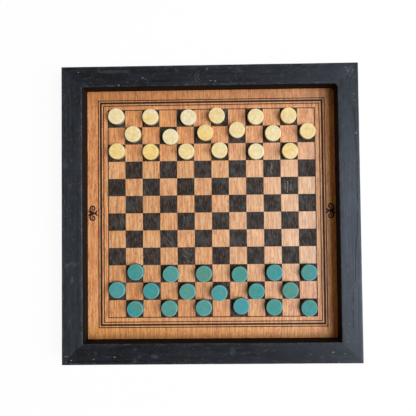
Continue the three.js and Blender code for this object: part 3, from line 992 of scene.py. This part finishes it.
# Pale rubs on the printed squares: width, then points along the line, in millimetres
INK_RUBS = (
    (2.2, (90, 75), (91, 69), (89.5, 64), (90.5, 58)), (1.2, (93, 71), (92.5, 65)),
    (2.1, (110, 44), (110.5, 38), (110, 34)), (2.5, (114, 47), (114.5, 40), (113.5, 30)),
    (1.8, (119, 43), (118.5, 33)),
    (0.9, (-134, -4), (-131, -14)), (0.9, (-137, -10), (-133, -20)),
    (1.0, (-41, -3), (-39, -12)), (0.9, (-36, -6), (-35, -16)),
    (1.0, (-70, -34), (-60, -44)), (1.0, (-66, -30), (-58, -38)), (0.9, (-62, -44), (-56, -49)),
    (1.1, (-45, -60), (-36, -66)), (1.0, (-40, -56), (-30, -62)), (0.9, (-36, -70), (-29, -74)),
)
# The least and most of a rub's half width, as shares of its width
INK_RUB_HALVES = (0.2, 0.5)
# How far the veneer shows through the ink of the squares, and through that of the lines and ornaments
WORN_INK = 1.0
FULL_INK = 0.15


def line_ink(colours):
    """The ink of the border lines and the ornaments."""
    return finish_named("full_screen_ink_on_veneer", screen_ink_on_veneer, colours, FULL_INK)


class CHECKERS_OT_printed_field(bpy.types.Operator):
    """Gives the printed squares and border lines their ink, and the squares their pale rubs"""

    bl_idname = "checkers.printed_field"
    bl_label = "Printed field"

    def execute(self, context):
        colours = context.scene.board_colours
        worn = finish_named("worn_screen_ink_on_veneer", screen_ink_on_veneer, colours, WORN_INK)
        dress_node("printed_squares", worn)
        for line in ("inner", "middle", "outer"):
            dress_node(f"border_line_{line}", line_ink(colours))
        rng = random.Random(context.scene.studio.seed)
        shape = bmesh.new()
        add_lines(shape, INK_RUBS, INK_RUB_HALVES, rub_heights, rng)
        finish = finish_named("screen_ink_rubbed", chipped_paint, colours.ink_pale, colours.ink_rubbed)
        rubs = new_piece("ink_rubs", shape, finish)
        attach(rubs, "board")
        return {"FINISHED"}


def ink_heights(_place):
    """The heights between which all ink lies on the panel."""
    return INK_BASE, INK_TOP


# A scroll's steps, its turns, the degrees where it starts and what its radius shrinks to
SCROLL_STEPS = 40
SCROLL_TURNS = 1.45
SCROLL_START = -80
SCROLL_SHRINK = 0.25
# Half width of its stroke at the start and how much of that is gone at the end, in millimetres
SCROLL_HALF_WIDTH = 1.2
SCROLL_THINNING = 0.5


def add_scroll(shape, centre, mirror, radius):
    """A C-shaped scroll that winds in and grows thin."""
    points = []
    half_widths = []
    for step in range(SCROLL_STEPS + 1):
        share = step / SCROLL_STEPS
        angle = math.radians(SCROLL_START) + 2 * math.pi * SCROLL_TURNS * share
        reach = radius * (SCROLL_SHRINK ** share)
        points.append(Vector((
            centre[0] + mirror[0] * reach * math.cos(angle), centre[1] + mirror[1] * reach * math.sin(angle),
        )))
        half_widths.append((SCROLL_HALF_WIDTH - SCROLL_THINNING * share) * MM)
    add_strip(shape, points, half_widths, ink_heights)


# How fast a diamond narrows from its middle: 2 would end it in a point
DIAMOND_TAPER = 1.9


def add_diamond(shape, centre, width, height):
    """A printed diamond drawn as one stroke that widens and narrows."""
    rows = (-0.5, -0.25, 0.0, 0.25, 0.5)
    points = [Vector((centre[0], centre[1] + row * height)) for row in rows]
    add_strip(shape, points, [0.5 * width * (1 - DIAMOND_TAPER * abs(row)) for row in rows], ink_heights)


# A leaf's steps, the half width of its stalk and what its belly adds to it, in millimetres, and how much of
# the belly is gone toward its tip
LEAF_STEPS = 8
LEAF_STALK = 0.35
LEAF_BELLY = 1.1
LEAF_TAPER = 0.4


def add_leaf(shape, stem, reach, sweep):
    """A printed leaf that leaves the stem sideways, bends and ends narrow."""
    points = []
    half_widths = []
    for step in range(LEAF_STEPS + 1):
        share = step / LEAF_STEPS
        points.append(Vector((stem[0] + reach * share, stem[1] + sweep * share * share)))
        belly = LEAF_BELLY * math.sin(math.pi * share) * (1 - LEAF_TAPER * share)
        half_widths.append((LEAF_STALK + belly) * MM)
    add_strip(shape, points, half_widths, ink_heights)


# An ornament's distance from the wall, and how far behind the board's middle it lies
FLOURISH_GAP = 0.8 * MM
FLOURISH_BEHIND = 2 * MM
# Its parts as shares of its height
SCROLL_RISE = 0.28
SCROLL_RADIUS = 0.22
DIAMOND_WIDTH = 0.18
DIAMOND_HEIGHT = 0.26
LEAF_RISE = 0.02
LEAF_SWEEP = 0.16
# Where its leaves start and how long they are, as shares of its half width
LEAF_START = 0.3
LEAF_LENGTH = 0.7


class CHECKERS_OT_margin_flourishes(bpy.types.Operator):
    """Prints a small scroll ornament in the middle of the left and right margins"""

    bl_idname = "checkers.margin_flourishes"
    bl_label = "Margin flourishes"

    def execute(self, context):
        height = context.scene.board_sizes.flourish_height
        half_width = 0.5 * context.scene.board_sizes.flourish_width
        finish = line_ink(context.scene.board_colours)
        for name, side in (("left", -1), ("right", 1)):
            shape = bmesh.new()
            x, y = side * (HALF_OPENING - half_width - FLOURISH_GAP), FLOURISH_BEHIND
            for upward in (-1, 1):
                middle = (x, y + upward * SCROLL_RISE * height)
                add_scroll(shape, middle, (side, upward), SCROLL_RADIUS * height)
            add_diamond(shape, (x, y), DIAMOND_WIDTH * height, DIAMOND_HEIGHT * height)
            for outward in (-1, 1):
                for upward in (-1, 1):
                    stem = (x + outward * LEAF_START * half_width, y + upward * LEAF_RISE * height)
                    add_leaf(shape, stem, outward * LEAF_LENGTH * half_width, upward * LEAF_SWEEP * height)
            flourish = new_piece(f"margin_flourish_{name}", shape, finish)
            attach(flourish, "board")
        return {"FINISHED"}


# Points to one turning ring, and where the ring of points on a disc's underside lies, as a share of its flat
RING_POINTS = 4
UNDERSIDE_RING = 0.55


def disc_profile(radius, thickness, sizes):
    """Half outline of a disc, from the middle of its underside round to the middle of its face."""
    ease = sizes.disc_ease
    flat = radius - ease
    under = arc((flat, ease), ease, -90, 0, EDGE_STEPS)
    upper = arc((flat, thickness - ease), ease, 0, 90, EDGE_STEPS)
    steps = int(flat / sizes.disc_ring * RING_POINTS)
    face = []
    for step in range(1, steps):
        reach = flat * (1 - step / steps)
        dip = 0.5 - 0.5 * math.cos(2 * math.pi * (flat - reach) / sizes.disc_ring)
        face.append((reach, thickness - dip * sizes.disc_ring_depth))
    return [(UNDERSIDE_RING * flat, 0.0)] + under + upper + face, flat


# Points round a disc, the number of waves that take it out of round, and the bumps round it of the first
DISC_POINTS = 72
DISC_WAVES = 3
FIRST_WAVE = 2
# How far inside the flat a disc's paler rim starts, over what width it grows and how pale it gets
RIM_START = 0.4 * MM
RIM_WIDTH = 0.8 * MM
RIM_PALE = 0.35
# How far below the face the painted shade on a disc's side starts, in radii of its edge
SHADED_SIDE_START = 0.9


def make_disc(node, finish, tone, ringed, chalk, blots, sizes, rng):
    """One turned disc, a little out of round, in the place of its solid."""
    low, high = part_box(node)
    centre = Vector((0.5 * (low[0] + high[0]), 0.5 * (low[1] + high[1]), low[2]))
    radius = 0.5 * (high[0] - low[0]) - sizes.disc_out_of_round
    thickness = high[2] - low[2]
    profile, flat = disc_profile(radius, thickness, sizes)
    phases = [rng.uniform(0, 2 * math.pi) for _ in range(DISC_WAVES)]
    shape = bmesh.new()
    rings = []
    for reach, height in profile:
        ring = []
        for angle in full_turn(DISC_POINTS):
            waves = [math.cos(order * angle + phase) for order, phase in enumerate(phases, FIRST_WAVE)]
            true_reach = reach + sum(waves) / DISC_WAVES * sizes.disc_out_of_round * reach / radius
            ring.append(shape.verts.new((true_reach * math.cos(angle), true_reach * math.sin(angle), height)))
        rings.append(ring)
    join_rings(shape, rings)
    for ring, height in ((rings[0], profile[0][1]), (rings[-1], profile[-1][1])):
        middle = shape.verts.new((0, 0, height))
        for step in range(DISC_POINTS):
            shape.faces.new((ring[step], ring[(step + 1) % DISC_POINTS], middle))
    disc = new_piece(f"turned_{node}", shape, finish)
    turn = Matrix.Rotation(rng.uniform(0, 2 * math.pi), 3, "Z")
    shift = Vector((0, 0, rng.uniform(-1, 1)))
    worn, blue = blots
    space = []
    values = {"edge": [], "side": [], "tone": [], "wear": [], "ringed": []}
    for vertex in disc.data.vertices:
        space += list(turn @ vertex.co + shift)
        rim = (math.hypot(vertex.co.x, vertex.co.y) - (flat - RIM_START)) / RIM_WIDTH
        on_side = float(vertex.co.z < thickness - SHADED_SIDE_START * sizes.disc_ease)
        values["edge"].append(min(max(rim, 0.0), 1.0) * (1 - on_side) * RIM_PALE + chalk)
        # The side is marked for its painted shade
        values["side"].append(on_side)
        values["tone"].append(tone + soft_marks(vertex.co, blue))
        values["wear"].append(PLAIN_WEAR + soft_marks(vertex.co, worn))
        values["ringed"].append(ringed)
    carry(disc.data, "disc_space", space, "FLOAT_VECTOR")
    for name, numbers in values.items():
        carry(disc.data, name, numbers)
    disc.data.transform(Matrix.Translation(centre))
    return disc


# Shade of each disc in its set, from its first colour to its second
IVORY_TONES = (0.1, 0.35, 0.0, 0.45, 0.3, 0.6, 0.45, 0.1, 0.95, 0.35, 0.3, 0.5, 0.7, 1.0, 0.6, 0.5, 0.1, 0.55)
TEAL_TONES = (0.35, 0.45, 0.0, 0.15, 0.6, 0.5, 0.65, 0.45, 0.15, 0.7, 0.4, 0.1, 0.35, 0.2, 0.3, 1.0, 0.3, 0.3)
# Discs whose turning rings show, and how strongly they show on these and on the rest
RINGED = {"ivory": (8, 12, 13, 14, 15, 17), "teal": (3, 9)}
STRONG_RINGS = 0.22
WEAK_RINGS = 0.05
# How far the paint is worn all over every disc
PLAIN_WEAR = 0.03
# Discs with a chalkier coat, and how chalky
CHALKY = {"ivory": (3, 6, 11, 16), "teal": (2, 7, 9, 10, 14, 15, 16)}
CHALKY_EDGE = 0.07
# Worn and blue places on single discs, in millimetres from the disc's middle: start, end, width and strength
WORN_PLACES = {
    "ivory": {
        4: ((-5, 0, 6, 2, 4.0, 0.25),), 12: ((-4, 3, 5, 2, 3.0, 0.35),), 18: ((-2, -2, 6, 3, 4.0, 0.25),),
    },
    "teal": {
        3: (
            (-8, 3, 5, 3, 1.8, 0.5), (-3, -3, 7, -3.6, 1.6, 0.65), (-8, 6, -4, 6, 2.0, 0.45),
            (-9, 0, 9, 0, 6.0, 0.22),
        ),
        6: ((-6, 3.5, 3.5, -1.5, 3.0, 0.45),),
        12: ((-5, 0, 5, 0, 6.0, 0.25),),
        13: ((1, 6, 7, 3, 2.8, 0.4), (-4, 1, 2, 2, 2.5, 0.15)),
    },
}
BLUE_PLACES = {
    "ivory": {},
    "teal": {
        5: ((6, -4, 8, 2, 3.0, 0.4),), 6: ((7, -5, 9.5, 0, 2.6, 1.0),), 13: ((-8, 2, -6, -6, 3.0, 0.6),),
        18: ((-3, -8, 6, -7, 2.6, 0.6),),
    },
}


class CHECKERS_OT_discs(bpy.types.Operator):
    """Turns and paints the two sets of discs"""

    bl_idname = "checkers.discs"
    bl_label = "Discs"

    def execute(self, context):
        sizes = context.scene.board_sizes
        colours = context.scene.board_colours
        rng = random.Random(context.scene.studio.seed)
        for name, tones, first, second, worn in (
            ("ivory", IVORY_TONES, colours.ivory_pale, colours.ivory_yellow, colours.ivory_worn),
            ("teal", TEAL_TONES, colours.teal_green, colours.teal_blue, colours.teal_worn),
        ):
            finish = finish_named(
                f"{name}_paint_on_turned_beech", turned_disc_paint, first, second, worn, sizes.disc_ring
            )
            for number, tone in enumerate(tones, start=1):
                node = f"{name}_disc_{number:02d}"
                ringed = STRONG_RINGS if number in RINGED[name] else WEAK_RINGS
                blots = (WORN_PLACES[name].get(number, ()), BLUE_PLACES[name].get(number, ()))
                chalk = CHALKY_EDGE if number in CHALKY[name] else 0.0
                disc = make_disc(node, finish, tone, ringed, chalk, blots, sizes, rng)
                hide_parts(node)
                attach(disc, f"{name}_{number:02d}")
        return {"FINISHED"}


class CHECKERS_OT_fasteners(bpy.types.Operator):
    """Gives the nails and pins their steel"""

    bl_idname = "checkers.fasteners"
    bl_label = "Fasteners"

    def execute(self, context):
        finish = finish_named("drawn_steel_rusted", drawn_steel_rusted, context.scene.board_colours)
        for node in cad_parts:
            if node.startswith(("corner_nail", "panel_pin")):
                dress_node(node, finish)
        return {"FINISHED"}


# Share of plain white in what the camera sees of the floor, which keeps the shadow, and of the backdrop
FLOOR_GLOW = 0.92
BACKDROP_GLOW = 0.98
# Points round the floor, steps up its cove, the radius of its middle face in metres, its backdrop's height in
# radii of the cove, and the angle up to which it is shaded smooth
FLOOR_POINTS = 96
COVE_STEPS = 12
FLOOR_MIDDLE = 0.5
BACKDROP_HEIGHT = 3
FLOOR_SMOOTH = 60.0
# The backdrop's paper starts at this height, and the floor lies this far below the board
BACKDROP_START = 1 * MM
FLOOR_DROP = 0.1 * MM


def make_floor(studio, colours):
    """A round floor that sweeps up into its backdrop."""
    shape = bmesh.new()
    sweep = arc((studio.floor_radius, studio.cove_radius), studio.cove_radius, -90, 0, COVE_STEPS)
    profile = [(FLOOR_MIDDLE, 0.0)] + sweep + [(sweep[-1][0], BACKDROP_HEIGHT * studio.cove_radius)]
    rings = []
    for reach, height in profile:
        angles = full_turn(FLOOR_POINTS)
        rings.append([shape.verts.new((reach * math.cos(a), reach * math.sin(a), height)) for a in angles])
    join_rings(shape, rings)
    shape.faces.new(rings[0])
    white = finish_named("studio_paper_white", studio_paper, colours.floor, FLOOR_GLOW)
    grey_paper = finish_named("studio_paper_grey", studio_paper, colours.backdrop, BACKDROP_GLOW)
    floor = new_piece("studio_floor", shape, white, FLOOR_SMOOTH)
    floor.data.materials.append(grey_paper)
    for face in floor.data.polygons:
        face.material_index = int(face.center.z > BACKDROP_START)
    floor.location.z = -FLOOR_DROP
    floor.visible_shadow = False


def make_camera(scene, studio):
    """A camera where the photograph was taken from, looking down."""
    lens = bpy.data.cameras.new("photo_camera")
    lens.sensor_width = SENSOR_MM
    lens.lens = FOCAL_PX / IMAGE_SIDE_PX * SENSOR_MM
    lens.shift_x = (IMAGE_SIDE_PX / 2 - LENS_AXIS_PX[0]) / IMAGE_SIDE_PX
    lens.shift_y = (LENS_AXIS_PX[1] - IMAGE_SIDE_PX / 2) / IMAGE_SIDE_PX
    lens.clip_start = CLIP_START
    camera = bpy.data.objects.new("photo_camera", lens)
    camera.location = studio.camera_place
    camera.rotation_euler = studio.camera_turn
    scene.collection.objects.link(camera)
    scene.camera = camera


def add_softbox(scene, name, place, power, tint, width, height):
    """A soft rectangular lamp that faces the board and isn't seen itself."""
    lamp = bpy.data.lights.new(name, "AREA")
    lamp.shape = "RECTANGLE"
    lamp.size = width
    lamp.size_y = height
    lamp.energy = power
    lamp.color = tint
    softbox = bpy.data.objects.new(name, lamp)
    softbox.location = place
    softbox.rotation_euler = (-Vector(place)).to_track_quat("-Z", "Y").to_euler()
    softbox.visible_camera = False
    scene.collection.objects.link(softbox)


def make_lights(scene, studio):
    """A tall cool lamp far to the right, a weak strip overhead for the varnish's sheen, and a warm sky."""
    for name, place, power, width, height in (
        ("key_softbox", studio.key_place, studio.key_power, studio.key_width, studio.key_height),
        ("top_strip", studio.top_place, studio.top_power, studio.top_width, studio.top_length),
    ):
        add_softbox(scene, name, place, power, studio.key_tint, width, height)
    world = bpy.data.worlds.new("studio_sky")
    world.use_nodes = True
    sky = world.node_tree.nodes["Background"]
    sky.inputs["Color"].default_value = rgba(studio.sky_tint)
    sky.inputs["Strength"].default_value = studio.sky
    scene.world = world


class CHECKERS_OT_stage(bpy.types.Operator):
    """Sets up the floor, the light and the camera"""

    bl_idname = "checkers.stage"
    bl_label = "Stage"

    def execute(self, context):
        studio = context.scene.studio
        make_floor(studio, context.scene.board_colours)
        make_camera(context.scene, studio)
        make_lights(context.scene, studio)
        context.scene.view_settings.view_transform = "Standard"
        return {"FINISHED"}


class CHECKERS_PT_sidebar(bpy.types.Panel):
    """Lists the board's pieces and settings"""

    bl_idname = "CHECKERS_PT_sidebar"
    bl_label = "Checkers board"
    bl_space_type = "VIEW_3D"
    bl_region_type = "UI"
    bl_category = "Checkers"

    def draw(self, context):
        for operator in OPERATORS:
            self.layout.operator(operator.bl_idname)
        for group in (context.scene.board_sizes, context.scene.board_colours, context.scene.studio):
            box = self.layout.box()
            for name in group.__annotations__:
                box.prop(group, name)


OPERATORS = (
    CHECKERS_OT_frame_rails,
    CHECKERS_OT_paint_chips,
    CHECKERS_OT_playing_panel,
    CHECKERS_OT_printed_field,
    CHECKERS_OT_margin_flourishes,
    CHECKERS_OT_discs,
    CHECKERS_OT_fasteners,
    CHECKERS_OT_stage,
)
CLASSES = (BoardSizes, BoardColours, StudioSettings, *OPERATORS, CHECKERS_PT_sidebar)


def register():
    """Makes the settings and operators known to Blender."""
    for cls in CLASSES:
        bpy.utils.register_class(cls)
    bpy.types.Scene.board_sizes = PointerProperty(type=BoardSizes)
    bpy.types.Scene.board_colours = PointerProperty(type=BoardColours)
    bpy.types.Scene.studio = PointerProperty(type=StudioSettings)


def unregister():
    """Takes them away again."""
    del bpy.types.Scene.studio
    del bpy.types.Scene.board_colours
    del bpy.types.Scene.board_sizes
    for cls in reversed(CLASSES):
        bpy.utils.unregister_class(cls)


def plain(box):
    """A box's two corners as plain lists of numbers."""
    return [[float(value) for value in corner] for corner in box]


def main():
    """Dresses the board and sets the stage."""
    register()
    bpy.ops.checkers.frame_rails()
    bpy.ops.checkers.paint_chips()
    bpy.ops.checkers.playing_panel()
    bpy.ops.checkers.printed_field()
    bpy.ops.checkers.margin_flourishes()
    bpy.ops.checkers.discs()
    bpy.ops.checkers.fasteners()
    bpy.ops.checkers.stage()


if __name__ == "__main__":
    main()
